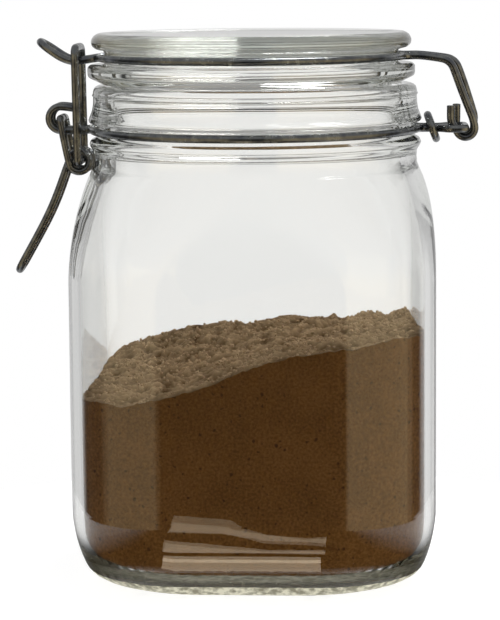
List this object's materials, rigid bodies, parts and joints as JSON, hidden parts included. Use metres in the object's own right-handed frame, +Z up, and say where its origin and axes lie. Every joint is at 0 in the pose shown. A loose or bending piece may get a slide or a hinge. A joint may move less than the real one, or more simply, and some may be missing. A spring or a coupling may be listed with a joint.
{
  "type": "hinged lid storage jar",
  "caption": "Square clear glass storage jar with a round neck, a hinged glass lid, a steel wire bail with a lever latch, and a part fill of brown powder.",
  "frame": {"origin": "on the surface the jar stands on, under the middle of its overall length from lever tip to hinge; the jar's own axis is 3.155 mm to the +X side of it", "axes": "+Z up along the jar's axis, latch at -X, hinge at +X, the face that looks at the viewer at -Y"},
  "size_m": [0.1385, 0.1068, 0.1604],
  "materials": {
    "jar_glass": "clear pressed soda-lime glass, faintly green in the thick base",
    "powder": "fine dry brown powder with darker specks, crumbly on top",
    "lid_glass": "clear pressed soda-lime glass",
    "lid_wire": "dark drawn steel wire, dull grey with worn lighter spots",
    "neck_wire": "dark drawn steel wire, dull grey with worn lighter spots",
    "hinge_clip": "dark drawn steel wire, dull grey",
    "lever_wire": "dark drawn steel wire, dull grey",
    "link_wire": "dark drawn steel wire, dull grey"
  },
  "bodies": {
    "jar": {"jar_glass": "jar_glass", "powder": "powder", "neck_wire": "neck_wire", "hinge_clip": "hinge_clip"},
    "lid": {"lid_glass": "lid_glass", "lid_wire": "lid_wire"},
    "lever": {"lever_wire": "lever_wire"},
    "link": {"link_wire": "link_wire"}
  },
  "joints": [
    {"name": "lid_hinge", "type": "hinge", "parent": "jar", "child": "lid", "pos_m": [0.06535, 0, 0.132], "axis": [0, 1, 0], "range_deg": [0, 215]},
    {"name": "lever_pivot", "type": "hinge", "parent": "jar", "child": "lever", "pos_m": [-0.05445, 0, 0.1353], "axis": [0, 1, 0], "range_deg": [0, 130]},
    {"name": "link_pivot", "type": "hinge", "parent": "lever", "child": "link", "pos_m": [-0.04904, 0, 0.1226], "axis": [0, 1, 0], "range_deg": [-89, 0]}
  ],
  "couplings": [
    {"joint": "link_pivot", "follows": "lever_pivot", "ratio": -0.68}
  ]
}
